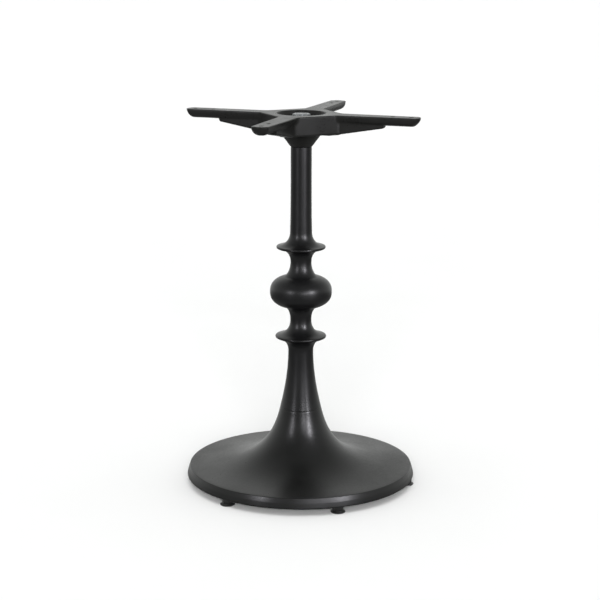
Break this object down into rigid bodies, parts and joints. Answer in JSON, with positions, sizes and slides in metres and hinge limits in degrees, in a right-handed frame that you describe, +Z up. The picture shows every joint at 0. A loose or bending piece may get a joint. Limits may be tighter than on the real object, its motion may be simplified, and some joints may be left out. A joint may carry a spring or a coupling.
{
  "type": "pedestal table base",
  "caption": "Black cast pedestal table base: round dished foot, turned column with a ball and rings, cross-shaped top spider, tie rod and screw-adjustable levelling feet.",
  "frame": {"origin": "on the floor, under the column's axis", "axes": "+Z up along the column; +X to the right in the picture, +Y away from the camera"},
  "size_m": [0.443, 0.443, 0.718],
  "materials": {
    "cast_black": "black powder coat over grey iron, satin, slightly pebbled",
    "spider_black": "black powder coat, flatter than the column's",
    "zinc_plate": "bright zinc plate",
    "foot_black": "black moulded nylon, slightly glossy"
  },
  "bodies": {
    "pedestal": {"base_casting": "cast_black", "column_casting": "cast_black", "top_spider": "spider_black", "tie_rod": "zinc_plate", "top_washer": "zinc_plate", "top_spring_washer": "zinc_plate", "top_nut": "zinc_plate", "bottom_washer": "zinc_plate", "bottom_nut": "zinc_plate"},
    "foot_1": {"foot_pad_1": "foot_black"},
    "foot_screw_1": {"foot_hex_1": "foot_black", "foot_stud_1": "zinc_plate"},
    "foot_2": {"foot_pad_2": "foot_black"},
    "foot_screw_2": {"foot_hex_2": "foot_black", "foot_stud_2": "zinc_plate"},
    "foot_3": {"foot_pad_3": "foot_black"},
    "foot_screw_3": {"foot_hex_3": "foot_black", "foot_stud_3": "zinc_plate"},
    "foot_4": {"foot_pad_4": "foot_black"},
    "foot_screw_4": {"foot_hex_4": "foot_black", "foot_stud_4": "zinc_plate"},
    "foot_5": {"foot_pad_5": "foot_black"},
    "foot_screw_5": {"foot_hex_5": "foot_black", "foot_stud_5": "zinc_plate"},
    "foot_6": {"foot_pad_6": "foot_black"},
    "foot_screw_6": {"foot_hex_6": "foot_black", "foot_stud_6": "zinc_plate"}
  },
  "joints": [
    {"name": "foot_1_height", "type": "slide", "parent": "pedestal", "child": "foot_1", "axis": [0, 0, -1], "range_m": [0, 0.008]},
    {"name": "foot_1_screw", "type": "hinge", "parent": "foot_1", "child": "foot_screw_1", "pos_m": [0.20612, -0.03857, 0.008], "axis": [0, 0, -1], "range_deg": [0, 2310]},
    {"name": "foot_2_height", "type": "slide", "parent": "pedestal", "child": "foot_2", "axis": [0, 0, -1], "range_m": [0, 0.008]},
    {"name": "foot_2_screw", "type": "hinge", "parent": "foot_2", "child": "foot_screw_2", "pos_m": [0.13647, 0.15922, 0.008], "axis": [0, 0, -1], "range_deg": [0, 2310]},
    {"name": "foot_3_height", "type": "slide", "parent": "pedestal", "child": "foot_3", "axis": [0, 0, -1], "range_m": [0, 0.008]},
    {"name": "foot_3_screw", "type": "hinge", "parent": "foot_3", "child": "foot_screw_3", "pos_m": [-0.06965, 0.19779, 0.008], "axis": [0, 0, -1], "range_deg": [0, 2310]},
    {"name": "foot_4_height", "type": "slide", "parent": "pedestal", "child": "foot_4", "axis": [0, 0, -1], "range_m": [0, 0.008]},
    {"name": "foot_4_screw", "type": "hinge", "parent": "foot_4", "child": "foot_screw_4", "pos_m": [-0.20612, 0.03857, 0.008], "axis": [0, 0, -1], "range_deg": [0, 2310]},
    {"name": "foot_5_height", "type": "slide", "parent": "pedestal", "child": "foot_5", "axis": [0, 0, -1], "range_m": [0, 0.008]},
    {"name": "foot_5_screw", "type": "hinge", "parent": "foot_5", "child": "foot_screw_5", "pos_m": [-0.13647, -0.15922, 0.008], "axis": [0, 0, -1], "range_deg": [0, 2310]},
    {"name": "foot_6_height", "type": "slide", "parent": "pedestal", "child": "foot_6", "axis": [0, 0, -1], "range_m": [0, 0.008]},
    {"name": "foot_6_screw", "type": "hinge", "parent": "foot_6", "child": "foot_screw_6", "pos_m": [0.06965, -0.19779, 0.008], "axis": [0, 0, -1], "range_deg": [0, 2310]}
  ],
  "couplings": [
    {"joint": "foot_1_screw", "follows": "foot_1_height", "rad_per_m": 5026.5},
    {"joint": "foot_2_screw", "follows": "foot_2_height", "rad_per_m": 5026.5},
    {"joint": "foot_3_screw", "follows": "foot_3_height", "rad_per_m": 5026.5},
    {"joint": "foot_4_screw", "follows": "foot_4_height", "rad_per_m": 5026.5},
    {"joint": "foot_5_screw", "follows": "foot_5_height", "rad_per_m": 5026.5},
    {"joint": "foot_6_screw", "follows": "foot_6_height", "rad_per_m": 5026.5}
  ]
}
